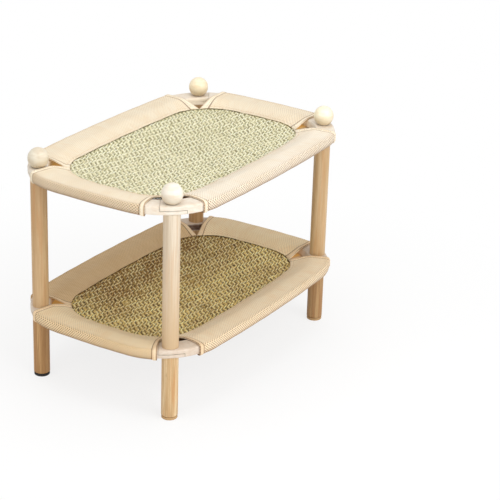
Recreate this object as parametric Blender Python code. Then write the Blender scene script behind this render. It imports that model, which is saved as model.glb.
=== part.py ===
"""Two-tier pet bed: turned wooden posts, bowed rails half-lapped round them, and woven mats hung in fabric sleeves.

Sizes are millimetres times MM, which gives metres. X runs along the long side, Y along the short side and Z up.
The origin is on the floor, midway between the four legs.
"""
import math

import bmesh
import bpy
import numpy as np

MM = 0.001

# Frame
POST_SPACING_X = 470 * MM
POST_SPACING_Y = 268 * MM
POST_DIAMETER = 28 * MM
POST_LENGTH = 235.5 * MM
LEG_LENGTH = 110 * MM
LEG_EASE = 1.5 * MM
FOOT_DIAMETER = 27 * MM
FOOT_THICKNESS = 4.7 * MM
FOOT_EASE = 0.7 * MM
FIT = 0.3 * MM

# Rails: the frame of each tier is a ring with bowed sides and round corners, and a post stands in each corner
CORNER_RADIUS = 95 * MM
POST_BEARING = math.radians(43.5)
SIDE_LEAN = math.radians(3)
RAIL_MARGIN = 3 * MM
RAIL_WIDTH = POST_DIAMETER + 2 * RAIL_MARGIN
RAIL_THICKNESS = 15 * MM
RAIL_ROUNDING = 3 * MM
SHOULDER_CLEARANCE = 5 * MM
LAP_HALF = POST_DIAMETER / 2 + SHOULDER_CLEARANCE

# Fasteners
STUD_DIAMETER = 8 * MM
STUD_DEPTH = 28 * MM
STUD_EASE = 0.6 * MM
INSERT_LENGTH = 16 * MM
INSERT_WALL = 1.7 * MM
INSERT_RADIUS = STUD_DIAMETER / 2 + FIT + INSERT_WALL
SOCKET_RADIUS = INSERT_RADIUS + FIT
SOCKET_DEPTH = INSERT_LENGTH + 2 * FIT
BORE_CLEARANCE = 0.4 * MM
BORE_RADIUS = STUD_DIAMETER / 2 + BORE_CLEARANCE

# Finials: balls a little taller than they are wide, cut flat where they sit
BALL_DIAMETER = 35.4 * MM
BALL_STRETCH = 1.03
BALL_SEAT_WALL = 3.7 * MM
BALL_SEAT_RADIUS = SOCKET_RADIUS + BALL_SEAT_WALL

# Mats and sleeves
FABRIC = 1.2 * MM
SLEEVE_EASE = 0.5 * MM
BAND_WIDTH = 25 * MM
SEAM_OVERLAP = 6 * MM
LEVEL_MARGIN = 4 * MM
MITRE_GAP = 1.2 * MM
MAT_THICKNESS = 4 * MM
MAT_DROP = 3.5 * MM
MAT_SAG = 8 * MM
MAT_CORNER_RADIUS = 80 * MM
MAT_INSET = RAIL_WIDTH / 2 + BAND_WIDTH

# Bare rail between each lap's shoulder and the sleeve's hem, at the start and the end of each side
BARE_RAIL = {
    "lower": {"front": (22, 1.5), "right": (23, 5), "back": (14, 16), "left": (1.5, 1.5)},
    "upper": {"front": (24, 23), "right": (23, 21), "back": (31, 26), "left": (1.5, 20)},
}

# Facets
ROUND_SEGMENTS = 24
FASTENER_SEGMENTS = 16
BALL_STEPS = 10
ROUNDING_STEPS = 2
CORNER_STEP = math.radians(9)
SIDE_STEPS = 4
LEAST_FACET = 0.2
LEAST_BEND = 0.05
MAT_RINGS = (0.3, 0.6, 0.85, 1.0)
SMOOTH_BELOW = math.radians(50)

# Heights of the stack at each post
LEG_BASE = FOOT_THICKNESS + FIT
TIER_BASE = {"lower": LEG_BASE + LEG_LENGTH + FIT}
POST_BASE = TIER_BASE["lower"] + RAIL_THICKNESS + FIT
TIER_BASE["upper"] = POST_BASE + POST_LENGTH + FIT
FINIAL_BASE = TIER_BASE["upper"] + RAIL_THICKNESS + FIT

# Each side's outward direction. A side starts at the post that is clockwise of it, seen from above
SIDES = {"front": (0, -1), "right": (1, 0), "back": (0, 1), "left": (-1, 0)}
CORNERS = {
    "front_left": (-1, -1),
    "front_right": (1, -1),
    "back_right": (1, 1),
    "back_left": (-1, 1),
}


class Outline:
    """A rectangle with bowed sides and round corners, seen from above.

    Each side is a shallow arc that leans SIDE_LEAN at its ends, and meets the corner arcs there in one tangent.
    """

    def __init__(self, corner_x, corner_y, radius):
        self.centre = (corner_x, corner_y)
        self.radius = radius

    def span(self, side):
        """How far the corner's centre is from the middle of the side, along it and outward."""
        return self.centre if SIDES[side][0] == 0 else self.centre[::-1]

    def turn(self, side):
        """The outward direction's angle at the post, from the middle of the side."""
        return math.pi / 2 - POST_BEARING if SIDES[side][0] == 0 else POST_BEARING

    def side_radius(self, side):
        return self.radius + self.span(side)[0] / math.sin(SIDE_LEAN)

    def bend(self, side):
        """Length along the outline from the middle of the side to where its corner arc begins."""
        return self.side_radius(side) * SIDE_LEAN

    def half_length(self, side):
        """Length along the outline from the middle of the side to the post's bearing."""
        return self.bend(side) + self.radius * (self.turn(side) - SIDE_LEAN)

    def stations(self, side, start, end):
        """Places along the side from start to end: the two ends and the outline's own facets between them."""
        straight = self.bend(side)
        corner = straight + self.radius * np.arange(CORNER_STEP, math.pi / 2, CORNER_STEP)
        ring = np.concatenate([-corner[::-1], np.linspace(-straight, straight, SIDE_STEPS + 1), corner])
        clear = LEAST_FACET * self.radius * CORNER_STEP
        inside = ring[(ring > start + clear) & (ring < end - clear)]
        return np.concatenate([[start], inside, [end]])

    def point(self, side, along, outward=0.0):
        """The point at a length along the side from its middle, moved outward, as x and y."""
        along, outward = np.broadcast_arrays(along, outward)
        across, out = self.span(side)
        big = self.side_radius(side)
        straight = self.bend(side)
        on_side = np.abs(along) <= straight
        angle = np.where(on_side, along / big,
                         np.sign(along) * (SIDE_LEAN + (np.abs(along) - straight) / self.radius))
        reach = np.where(on_side, big, self.radius) + outward
        t = np.where(on_side, 0, np.sign(along) * across) + reach * np.sin(angle)
        o = np.where(on_side, out - (big - self.radius) * math.cos(SIDE_LEAN), out) + reach * np.cos(angle)
        ox, oy = SIDES[side]
        return np.stack([-oy * t + ox * o, ox * t + oy * o], axis=-1)


def post_xy(corner):
    sx, sy = CORNERS[corner]
    return sx * POST_SPACING_X / 2, sy * POST_SPACING_Y / 2


RING = Outline(
    POST_SPACING_X / 2 - CORNER_RADIUS * math.cos(POST_BEARING),
    POST_SPACING_Y / 2 - CORNER_RADIUS * math.sin(POST_BEARING),
    CORNER_RADIUS,
)


def mat_outline():
    """The line round the mat where the fabric ends."""
    inset = CORNER_RADIUS - MAT_INSET - MAT_CORNER_RADIUS
    return Outline(RING.centre[0] + inset, RING.centre[1] + inset, MAT_CORNER_RADIUS)


def material(name, colour, roughness, metallic=0.0):
    made = bpy.data.materials.new(name)
    made.use_nodes = True
    shader = made.node_tree.nodes["Principled BSDF"]
    shader.inputs["Base Color"].default_value = (*colour, 1)
    shader.inputs["Roughness"].default_value = roughness
    shader.inputs["Metallic"].default_value = metallic
    made.diffuse_color = (*colour, 1)
    return made


def add_object(name, mesh_data, look, location=(0, 0, 0), smooth=True):
    """Turns a bmesh into a named object with its faces outward."""
    bmesh.ops.remove_doubles(mesh_data, verts=mesh_data.verts, dist=1e-6)
    bmesh.ops.recalc_face_normals(mesh_data, faces=mesh_data.faces)
    mesh = bpy.data.meshes.new(name)
    mesh_data.to_mesh(mesh)
    mesh_data.free()
    if smooth:
        mesh.shade_smooth()
        mesh.set_sharp_from_angle(angle=SMOOTH_BELOW)
    made = bpy.data.objects.new(name, mesh)
    made.location = location
    if look:
        mesh.materials.append(look)
    bpy.context.collection.objects.link(made)
    return made


def turned(name, profile, look, location, segments=ROUND_SEGMENTS, ring=False):
    """Spins a profile of (radius, height) points about Z. A ring's profile closes on itself."""
    made = bmesh.new()
    points = [made.verts.new((r, 0, z)) for r, z in profile]
    pairs = zip(points, points[1:] + points[:1]) if ring else zip(points, points[1:])
    edges = [made.edges.new(pair) for pair in pairs]
    bmesh.ops.spin(made, geom=points + edges, cent=(0, 0, 0), axis=(0, 0, 1), angle=math.tau,
                   steps=segments, use_merge=True)
    return add_object(name, made, look, location)


def lofted(made, rows):
    """Adds a closed bar: rows of points, one closed loop for each station, with a cap at each end."""
    loops = [[made.verts.new(point) for point in row] for row in rows]
    count = len(loops[0])
    for near, far in zip(loops, loops[1:]):
        for j in range(count):
            k = (j + 1) % count
            made.faces.new((near[j], near[k], far[k], far[j]))
    made.faces.new(loops[0][::-1])
    made.faces.new(loops[-1])


def ring_rows(side, start, end, section):
    """The section's (outward, height) points, carried along one side of the ring."""
    out, height = np.array(section).T
    rows = []
    for along in RING.stations(side, start, end):
        xy = RING.point(side, np.full(len(out), along), out)
        rows.append(np.column_stack([xy, height]))
    return rows


def rounded_section(width, low, high, rounding):
    """A rectangle with round corners, as (outward, height) points."""
    points = []
    quarter = math.pi / 2
    middles = ((1, 1), (-1, 1), (-1, -1), (1, -1))
    for turn, (a, b) in enumerate(middles):
        x = a * (width / 2 - rounding)
        z = (low + high) / 2 + b * ((high - low) / 2 - rounding)
        for step in range(ROUNDING_STEPS + 1):
            angle = quarter * (turn + step / ROUNDING_STEPS)
            points.append((x + rounding * math.cos(angle), z + rounding * math.sin(angle)))
    return points


def is_long(side):
    return SIDES[side][0] == 0


def hide_cutter(cutter):
    cutter.hide_render = True
    cutter.display_type = "WIRE"


def bore_cutter():
    """Four pins at the post axes, as tall as the whole frame, which bore the rails for the studs."""
    made = bmesh.new()
    for corner in CORNERS:
        x, y = post_xy(corner)
        angles = math.tau * np.arange(FASTENER_SEGMENTS) / FASTENER_SEGMENTS
        ring = np.column_stack([x + BORE_RADIUS * np.cos(angles), y + BORE_RADIUS * np.sin(angles)])
        lofted(made, [np.column_stack([ring, np.full(len(ring), z)]) for z in (0.0, FINIAL_BASE + LEG_BASE)])
    cutter = add_object("bore_cutter", made, None, smooth=False)
    hide_cutter(cutter)
    return cutter


def lap_cutter(tier, side):
    """Two blocks that cut the ends of a rail to half thickness, so that a long rail's tongues lie on a short rail's."""
    middle = TIER_BASE[tier] + RAIL_THICKNESS / 2
    beyond = RAIL_THICKNESS
    low, high = (middle - beyond, middle + FIT / 2) if is_long(side) else (middle - FIT / 2, middle + beyond)
    half = RAIL_WIDTH / 2 + beyond
    section = ((half, high), (-half, high), (-half, low), (half, low))
    shoulder = RING.half_length(side) - LAP_HALF
    made = bmesh.new()
    for end in (-1, 1):
        near = RING.point(side, end * shoulder)
        out = RING.point(side, end * shoulder, 1.0) - near
        ahead = end * np.array([-out[1], out[0]])
        rows = []
        for reach in (0, 3 * LAP_HALF):
            rows.append([(*(near + ahead * reach + out * o), z) for o, z in section])
        lofted(made, rows)
    cutter = add_object(f"lap_cutter_{tier}_{side}", made, None, smooth=False)
    hide_cutter(cutter)
    return cutter


def rail(tier, side, bores, look):
    """A bowed rail from one post to the next, with a half-thick tongue round each post."""
    low = TIER_BASE[tier]
    section = rounded_section(RAIL_WIDTH, low, low + RAIL_THICKNESS, RAIL_ROUNDING)
    tip = RING.half_length(side) + LAP_HALF - FIT
    made = bmesh.new()
    lofted(made, ring_rows(side, -tip, tip, section))
    piece = add_object(f"rail_{tier}_{side}", made, look)
    for cutter in (lap_cutter(tier, side), bores):
        cut = piece.modifiers.new(cutter.name, "BOOLEAN")
        cut.operation = "DIFFERENCE"
        cut.solver = "EXACT"
        cut.object = cutter
    return piece


def thicken(piece, thickness):
    solid = piece.modifiers.new("thickness", "SOLIDIFY")
    solid.thickness = thickness
    solid.offset = 0
    solid.use_even_offset = True


def grid_faces(made, rows):
    """Adds an open sheet from rows of points."""
    grid = [[made.verts.new(point) for point in row] for row in rows]
    for near, far in zip(grid, grid[1:]):
        for j in range(len(near) - 1):
            made.faces.new((near[j], near[j + 1], far[j + 1], far[j]))


def mat_level(tier):
    """Height of the middle of the mat's edge."""
    return TIER_BASE[tier] + RAIL_THICKNESS / 2 - MAT_DROP


def sleeve_places(side, start, end):
    """Matching lengths along the mat's edge and the ring: hem to hem, and the corner bends to each other."""
    edge = mat_outline()
    edge_half = edge.half_length(side) - MITRE_GAP
    on_mat = edge.stations(side, -edge_half, edge_half)
    first = max(-RING.bend(side), (1 - LEAST_BEND) * start)
    last = min(RING.bend(side), (1 - LEAST_BEND) * end)
    on_ring = np.interp(on_mat, [-edge_half, -edge.bend(side), edge.bend(side), edge_half], [start, first, last, end])
    return edge.point(side, on_mat), on_ring


def sleeve(tier, side, look):
    """A strip of fabric from the mat's top face, round the rail and back to the mat's underside.

    Its ends are cut square round the rail and slant in to the mat's corners, which leaves an open notch there.
    """
    low, high = TIER_BASE[tier], TIER_BASE[tier] + RAIL_THICKNESS
    off = SLEEVE_EASE + FABRIC / 2
    flat = RAIL_WIDTH / 2 - RAIL_ROUNDING
    bend = RAIL_ROUNDING + off
    slant = bend * math.sqrt(0.5)
    wrap = [
        (-flat, high + off),
        (flat, high + off),
        (flat + slant, high - RAIL_ROUNDING + slant),
        (flat + bend, high - RAIL_ROUNDING),
        (flat + bend, low + RAIL_ROUNDING),
        (flat + slant, low + RAIL_ROUNDING - slant),
        (flat, low - off),
        (-flat, low - off),
    ]
    start_bare, end_bare = (LAP_HALF + bare * MM for bare in BARE_RAIL[tier][side])
    half = RING.half_length(side)
    seam = MAT_THICKNESS / 2 + FIT + FABRIC / 2
    level = mat_level(tier)
    rows = []
    for (mx, my), along in zip(*sleeve_places(side, start_bare - half, half - end_bare)):
        around = [(*RING.point(side, along, out), height) for out, height in wrap]
        rows.append([(mx, my, level + seam), *around, (mx, my, level - seam)])
    made = bmesh.new()
    grid_faces(made, rows)
    piece = add_object(f"sleeve_{tier}_{side}", made, look)
    thicken(piece, FABRIC)
    return piece


def mat(tier, look):
    """A woven panel, level where the fabric holds its edge and LEVEL_MARGIN inside it, then sagging to the middle."""
    edge = mat_outline()
    level_edge, rim = [], []
    for side in SIDES:
        half = edge.half_length(side)
        places = edge.stations(side, -half, half)[:-1]
        level_edge.extend(edge.point(side, places, -LEVEL_MARGIN))
        rim.extend(edge.point(side, places, SEAM_OVERLAP))
    level = mat_level(tier)
    made = bmesh.new()
    middle = made.verts.new((0, 0, level - MAT_SAG))
    rings = []
    for share in MAT_RINGS:
        height = level - MAT_SAG * (1 - share ** 2)
        rings.append([made.verts.new((x * share, y * share, height)) for x, y in level_edge])
    rings.append([made.verts.new((x, y, level)) for x, y in rim])
    count = len(rim)
    for j in range(count):
        k = (j + 1) % count
        made.faces.new((middle, rings[0][j], rings[0][k]))
        for inner, outer in zip(rings, rings[1:]):
            made.faces.new((inner[j], outer[j], outer[k], inner[k]))
    piece = add_object(f"mat_{tier}", made, look)
    thicken(piece, MAT_THICKNESS)
    return piece


def leg(corner, look):
    """A dowel with an eased foot and a hole down its top for the stud."""
    r, ease = POST_DIAMETER / 2, LEG_EASE
    hole, depth = STUD_DIAMETER / 2 + FIT, LEG_LENGTH - STUD_DEPTH - FIT
    profile = [(0, 0), (r - ease, 0), (r, ease), (r, LEG_LENGTH), (hole, LEG_LENGTH), (hole, depth), (0, depth)]
    return turned(f"leg_{corner}", profile, look, (*post_xy(corner), LEG_BASE))


def post(corner, look):
    """A dowel between the tiers, with a socket for an insert below and a hole for a stud above."""
    r, hole = POST_DIAMETER / 2, STUD_DIAMETER / 2 + FIT
    depth = POST_LENGTH - STUD_DEPTH - FIT
    profile = [(0, SOCKET_DEPTH), (SOCKET_RADIUS, SOCKET_DEPTH), (SOCKET_RADIUS, 0), (r, 0), (r, POST_LENGTH),
               (hole, POST_LENGTH), (hole, depth), (0, depth)]
    return turned(f"post_{corner}", profile, look, (*post_xy(corner), POST_BASE))


def foot(corner, look):
    r, ease = FOOT_DIAMETER / 2, FOOT_EASE
    profile = [(0, 0), (r - ease, 0), (r, ease), (r, FOOT_THICKNESS), (0, FOOT_THICKNESS)]
    return turned(f"foot_pad_{corner}", profile, look, (*post_xy(corner), 0))


def stud(name, corner, face, look):
    """A threaded stud that stands STUD_DEPTH deep in the wood below a face, and reaches through the rails."""
    r, ease = STUD_DIAMETER / 2, STUD_EASE
    length = STUD_DEPTH + RAIL_THICKNESS + 2 * FIT + INSERT_LENGTH
    profile = [(0, 0), (r - ease, 0), (r, ease), (r, length - ease), (r - ease, length), (0, length)]
    return turned(f"{name}_{corner}", profile, look, (*post_xy(corner), face - STUD_DEPTH), FASTENER_SEGMENTS)


def insert(name, corner, base, look):
    """A threaded sleeve let into the wood above a base, which takes the stud below it."""
    inner, outer = STUD_DIAMETER / 2 + FIT, INSERT_RADIUS
    profile = [(inner, 0), (outer, 0), (outer, INSERT_LENGTH), (inner, INSERT_LENGTH)]
    return turned(f"{name}_{corner}", profile, look, (*post_xy(corner), base + FIT), FASTENER_SEGMENTS, ring=True)


def finial_ball(corner, look):
    """A ball with a flat seat and a socket for its insert."""
    radius, tall = BALL_DIAMETER / 2, BALL_DIAMETER / 2 * BALL_STRETCH
    seat = math.acos(BALL_SEAT_RADIUS / radius)
    middle = tall * math.sin(seat)
    angles = np.linspace(-seat, math.pi / 2, BALL_STEPS + 1)[:-1]
    curve = [(radius * math.cos(a), middle + tall * math.sin(a)) for a in angles]
    profile = [(0, SOCKET_DEPTH), (SOCKET_RADIUS, SOCKET_DEPTH), (SOCKET_RADIUS, 0), *curve, (0, middle + tall)]
    return turned(f"finial_ball_{corner}", profile, look, (*post_xy(corner), FINIAL_BASE))


def build():
    for existing in list(bpy.data.objects):
        bpy.data.objects.remove(existing, do_unlink=True)
    dowel = material("dowel_wood", (0.74, 0.55, 0.36), 0.55)
    pale = material("pale_wood", (0.88, 0.80, 0.68), 0.5)
    cloth = material("sleeve_cloth", (0.80, 0.67, 0.51), 0.9)
    weave = material("mat_weave", (0.52, 0.47, 0.29), 0.85)
    steel = material("steel", (0.62, 0.62, 0.64), 0.35, 1.0)
    brass = material("brass", (0.72, 0.55, 0.26), 0.35, 1.0)
    rubber = material("black_rubber", (0.02, 0.02, 0.02), 0.8)
    felt = material("felt", (0.66, 0.50, 0.33), 0.95)
    bores = bore_cutter()
    for tier in ("lower", "upper"):
        for side in SIDES:
            rail(tier, side, bores, pale)
            sleeve(tier, side, cloth)
        mat(tier, weave)
    for corner in CORNERS:
        foot(corner, rubber if corner == "back_left" else felt)
        leg(corner, dowel)
        post(corner, dowel)
        stud("leg_stud", corner, LEG_BASE + LEG_LENGTH, steel)
        insert("post_insert", corner, POST_BASE, brass)
        stud("post_stud", corner, POST_BASE + POST_LENGTH, steel)
        insert("finial_insert", corner, FINIAL_BASE, brass)
        finial_ball(corner, pale)


build()
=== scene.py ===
"""The looks of a two-tier wooden pet bed: turned dowels, pale rails, stitched mesh sleeves and woven mats.

Lengths are metres, and MM is one millimetre. A tone is a colour on a screen, as three numbers from 0 to 255.
"""
import math

import bmesh
import bpy
import numpy as np
from mathutils import Matrix, Vector


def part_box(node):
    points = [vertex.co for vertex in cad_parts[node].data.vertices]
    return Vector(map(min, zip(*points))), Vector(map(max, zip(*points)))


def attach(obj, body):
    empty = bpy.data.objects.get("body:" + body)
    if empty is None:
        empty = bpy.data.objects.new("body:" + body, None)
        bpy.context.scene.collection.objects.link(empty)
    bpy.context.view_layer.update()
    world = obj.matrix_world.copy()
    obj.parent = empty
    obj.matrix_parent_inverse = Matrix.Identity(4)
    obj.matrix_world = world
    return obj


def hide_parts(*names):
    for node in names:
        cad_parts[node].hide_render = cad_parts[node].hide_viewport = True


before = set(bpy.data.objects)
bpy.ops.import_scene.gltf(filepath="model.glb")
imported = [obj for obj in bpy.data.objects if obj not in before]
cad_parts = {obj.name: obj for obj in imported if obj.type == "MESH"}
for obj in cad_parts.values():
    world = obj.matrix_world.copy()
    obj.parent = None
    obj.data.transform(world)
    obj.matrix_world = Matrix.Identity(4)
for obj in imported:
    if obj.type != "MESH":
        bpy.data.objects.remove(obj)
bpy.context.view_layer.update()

MM = 0.001
STAND = "stand"
TIERS = ("lower", "upper")

# Each side's outward direction, and the corners where it starts and ends
SIDES = {
    "front": ((0, -1), "front_left", "front_right"),
    "right": ((1, 0), "front_right", "back_right"),
    "back": ((0, 1), "back_right", "back_left"),
    "left": ((-1, 0), "back_left", "front_left"),
}
CORNERS = [corners[1] for corners in SIDES.values()]
ENDS = (-1, 1)

# Sizes of the frame, as it was built
CORNER_RADIUS = 95 * MM
POST_BEARING = math.radians(43.5)
SIDE_LEAN = math.radians(3)
RAIL_WIDTH = 34 * MM
RAIL_ROUNDING = 3 * MM
RAIL_FLAT = RAIL_WIDTH / 2 - RAIL_ROUNDING
LAP_HALF = 19 * MM
BAND_WIDTH = 25 * MM
MAT_CORNER_RADIUS = 80 * MM
MAT_THICKNESS = 4 * MM
MAT_DROP = 3.5 * MM
MAT_SAG = 8 * MM
THREAD_PITCH = 1.25 * MM

# Marks on the wood: the laps' lines, the rails' inner faces, with painted light and painted shade, and their
# outer faces, and the balls' seats, with painted shade and a painted contact shadow
LAP_LINE = 0.8 * MM
LAP_SOFT = 0.2 * MM
PAINTED_INNER_FACE = (-0.5 * MM, 1.5 * MM)
OUTER_FACE = (-2.5 * MM, -MM)
SEAT_SHADE = 24 * MM
CONTACT_SHADOW_HEIGHTS = (0.2 * MM, 1.8 * MM)

# Cloth
CLOTH = 1.1 * MM
CLOTH_OFF = 1.1 * MM
HEM_WIDTH = 6.5 * MM
HEM_THICKNESS = 2.3 * MM
HEM_FLARE = 0.8 * MM
FLARE_REACH = 14 * MM
HEM_HOLD = 6 * MM
MESH_PITCH = 4.6 * MM
MESH_ROWS = 4.8 * MM
YARN_PITCH = 1.15 * MM

# How strongly the mesh's holes show on top of the rails. Round the outside it is 1
HOLES_ON_TOP = 0.25

# Steps of a sleeve's profile: over or under the rail, round each of its outer edges, and down its side
TOP_STEPS = 26
ROUND_STEPS = 5
SIDE_STEPS = 5
PROFILE_STEPS = 2 * TOP_STEPS + 2 * ROUND_STEPS + SIDE_STEPS
ALONG_STEPS = 150
HEM_STEPS = 60
HEM_ROUND = 14
SHARE_SAMPLES = 801

# Where the cloth eases down from the rail to the mat, as shares of its way inward
DRAPE = (0.42, 1.12)

# How far off a place's neighbours are taken for the cloth's slope, by share and by step
SHARE_NUDGE = 1e-3
STEP_NUDGE = 0.05

# Bare rail from the laps' shoulders to the sleeve's hems, at a side's start and end, in mm
BARE_RAIL = {
    "lower": {"front": (22, 1.5), "right": (23, 5), "back": (14, 16), "left": (1.5, 1.5)},
    "upper": {"front": (24, 23), "right": (23, 21), "back": (31, 26), "left": (1.5, 20)},
}

# Where two sleeves meet: how far on the mat's edge towards the long side, in mm, at what share of the way
# from the rail's outer edge to the mat, and by what power of that share
MITRES = {
    "front_left": (0, 0.92, 1.5),
    "front_right": (0, 1.0, 1.0),
    "back_right": (8, 1.0, 1.0),
    "back_left": (8, 0.86, 1.0),
}
MITRE_GAP = 0.5 * MM
CLOSING_REACH = 70 * MM

# Heights of the folds and waves near the seam and of the waves all over, in mm
FOLD, SEAM_WAVE, WAVE = 0.32, 0.2, 0.12

# Hems: the steps left free at each end, the powers that make the oval blunt, its rise, and its painted shadow
# line at the mouth
HEM_FREE = 0.6
HEM_BLUNT = (0.6, 0.7)
HEM_RISE = 0.2 * MM
HEM_MOUTH_SHADOW = (0.1 * MM, 1.7 * MM)

# Stitches. Half a stitch is its length from its middle
STITCH_WIDTH = 0.7 * MM
HEM_STITCH = {"samples": 400, "pitch": 4.6 * MM, "half": 1.45 * MM, "lift": HEM_THICKNESS / 2 + 0.15 * MM}
HEM_STITCH_IN = HEM_WIDTH - 1.6 * MM
HEM_STITCH_STEP = 1.5
SEAM_STITCH = {"samples": 600, "pitch": 5.2 * MM, "half": 1.7 * MM, "lift": CLOTH / 2 + 0.1 * MM}
SEAM_STITCH_STEP = 2.2
SEAM_STITCH_SHARE = 0.985

# Spindles, which stitches and strands are made of
SPINDLE_SIDES = 6
SPINDLE_ROWS = 5
SPINDLE_HUMP = 0.3 * MM
SPINDLE_TIP = 0.02
SPINDLE_POWER = 0.4

# Ground of the mats: straight cords both ways
CORD_PITCH = 2.93 * MM
CORD_WIDTH = 3.1 * MM
CORD_CROWN = 0.5 * MM
CORD_LIFT = 0.75 * MM
CORD_PROFILE = (-1, -0.4, 0.4, 1)
CORD_WOBBLE = 0.12 * MM
CORD_SWAY = 0.18 * MM
DIP_RISE = (0.45, 0.95)
MAT_UNDER_CLOTH = 5 * MM
RIM_MARGIN = 0.3 * MM

# Pale strands over the ground, in rows that lean and stand to either side in turn
STRAND_STEP = np.array((8.5, -2.15)) * MM
ROW_STEP = np.array((3.05, 9.25)) * MM
ROW_SWAY = 0.13
ROW_LEAN = 0.27
STRAND_TURNS = (math.radians(13), math.radians(54))
STRAND_TURN_SPREAD = math.radians(11)
STRAND_LENGTHS = (15.5 * MM, 12.5 * MM)
STRAND_LENGTH_SPREAD = (0.75, 1.15)
STRAND_WIDTH = 2.0 * MM
STRAND_FLATNESS = 0.55
STRAND_JITTER = 1.15 * MM
STRAND_MARGIN = -0.5 * MM
STRAND_LIFTS = (0.65, 1.05)
STRANDS_LEFT_OUT = 0.06
STRAND_GRAIN = 11 * MM
STRAND_FACET = 1.3 * MM

# Strands that cross holes: their share of the others' length, and how much lower, in mm, and duller they are
CROSSING_LENGTH = 0.5
CROSSING_DROP = 0.35
CROSSING_DULL = 0.6

# Tones of each corner's leg, post and ball: the wood, and its streaks or rings. Besides the wood's own
# differences they hold painted light and shade: the front left corner's parts are paler, and parts that stand
# more in shade are darker
LEG_TONES = {
    "front_left": ((230, 203, 159), (188, 146, 94)),
    "front_right": ((197, 160, 111), (158, 115, 69)),
    "back_right": ((206, 168, 118), (170, 126, 78)),
    "back_left": ((202, 160, 107), (156, 110, 60)),
}
POST_TONES = {
    "front_left": ((233, 219, 198), (205, 184, 155)),
    "front_right": ((219, 191, 150), (189, 152, 105)),
    "back_right": ((204, 168, 124), (164, 124, 78)),
    "back_left": ((213, 182, 139), (184, 143, 96)),
}
BALL_TONES = {
    "front_left": ((249, 243, 232), (236, 222, 200)),
    "front_right": ((254, 246, 222), (246, 228, 192)),
    "back_right": ((252, 238, 208), (242, 218, 176)),
    "back_left": ((235, 226, 206), (217, 201, 176)),
}
LEG_CONTRAST = 1.9
POST_CONTRAST = 1.1
# Painted shade towards the balls' seats, and the painted contact shadow line at them
BALL_SEAT_SHADE = (196, 176, 142)
BALL_CONTACT_SHADOW = (104, 86, 64)

# The front post has painted shade towards its foot, below these two heights
POST_FOOT_SHADE = {"front_left": (206, 174, 132)}
FOOT_FADE = (120 * MM, 330 * MM)

# Rails: light, dark, and the inner face at two corners, painted light on the upper rails and painted shade on
# the lower. Linings: painted light and painted shade. Tapes: yarn, shade, and the painted shadow line at the
# hem's mouth
RAIL_TONES = {
    "upper": ((238, 230, 216), (226, 205, 181), (255, 240, 214)),
    "lower": ((223, 207, 190), (203, 177, 150), (88, 52, 26)),
}
LAP_TONE = (132, 122, 92)
LINING_TONES = {
    "upper": ((240, 204, 132), (116, 74, 34)),
    "lower": ((236, 196, 122), (66, 40, 18)),
}
# Strength of the linings' painted glow, which stands in for light through the cloth
LINING_PAINTED_GLOW = 0.22
TAPE_TONES = {
    "upper": ((250, 240, 218), (240, 220, 188), (168, 126, 82)),
    "lower": ((246, 222, 188), (230, 196, 150), (126, 82, 42)),
}
THREAD_TONES = ((226, 196, 152), (196, 160, 114))

# Sleeves: yarn, shade, holes, and the share of SLEEVE_SIDE_SHADE, painted shade round the outside of the rail
CLOTH_TONES = {
    "upper": ((250, 238, 214), (238, 212, 174), (122, 82, 42), 0.35),
    # The front sleeves: paler, as painted light, with less painted shade round the outside
    "upper_front": ((252, 243, 226), (242, 220, 188), (122, 82, 42), 0.12),
    "lower_front": ((255, 238, 207), (247, 213, 168), (122, 78, 38), 0.15),
    # The lower sleeves are warmer than the upper, as painted bounce light
    "lower": ((255, 236, 199), (245, 210, 158), (122, 78, 38), 0.35),
    # The lower back sleeve: darker, as painted shade under the upper tier
    "lower_back": ((230, 200, 156), (210, 172, 122), (84, 50, 22), 0.35),
}
# Painted shade round the outside of the sleeves
SLEEVE_SIDE_SHADE = (206, 160, 88)

# Mats: strands and ground, each light and dark, holes, whose dark is painted shade, how much painted shade
# darkens the back edge, and a seed
MATS = {
    "upper": ((255, 255, 238), (246, 238, 200), (232, 225, 184), (208, 201, 158), (118, 112, 66), 0.0, 7),
    # The lower mat is browner than the upper, as painted warm light under the upper tier
    "lower": ((255, 253, 204), (208, 164, 90), (255, 228, 142), (158, 118, 52), (58, 32, 0), 1.2, 11),
}

# Where painted shade darkens the lower mat, by y and by x
PAINTED_SHADE_Y = (-0.04, 0.11)
PAINTED_SHADE_X = (-0.24, -0.08)

# Colours of the metals, in the renderer's own linear values
ZINC = ((0.62, 0.62, 0.64, 1), (0.32, 0.32, 0.33, 1))
BRASS = ((0.66, 0.47, 0.19, 1), (0.5, 0.34, 0.12, 1))

# Camera
CAMERA_PLACE = Vector((-2.3913, -1.6194, 1.4333))
CAMERA_AZIMUTH = math.radians(58.17)
CAMERA_ELEVATION = math.radians(23.33)
CAMERA_ROLL = math.radians(1.826)
FOCAL_PIXELS = 1791.9
PICTURE_PIXELS = 500
SENSOR = 36

# Each lamp's place, size and power, and the point that all of them face
LAMPS = {
    "right": ((-0.4, -1.65, 1.2), 1.5, 19.4),
    "left": ((-2.6, 0.0, 1.5), 1.8, 15),
    "top": ((0.0, 0.0, 2.8), 2.0, 24),
}
LAMPS_FACE = Vector((0, 0, 0.2))
SKY = {"Color": (1.0, 0.99, 0.97, 1), "Strength": 0.5}
BACKDROP = {"Color": (0.8, 0.8, 0.8, 1), "Strength": 1.0}

# Floor: its size, how far from the middle it fades to white, and how white it is before that
FLOOR_TONE = (250, 250, 250)
FLOOR_RADIUS = 6.0
FLOOR_RINGS = 40
FLOOR_SPOKES = 96
FLOOR_FADE = (0.3, 0.85)
FLOOR_WHITE = 0.8


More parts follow.
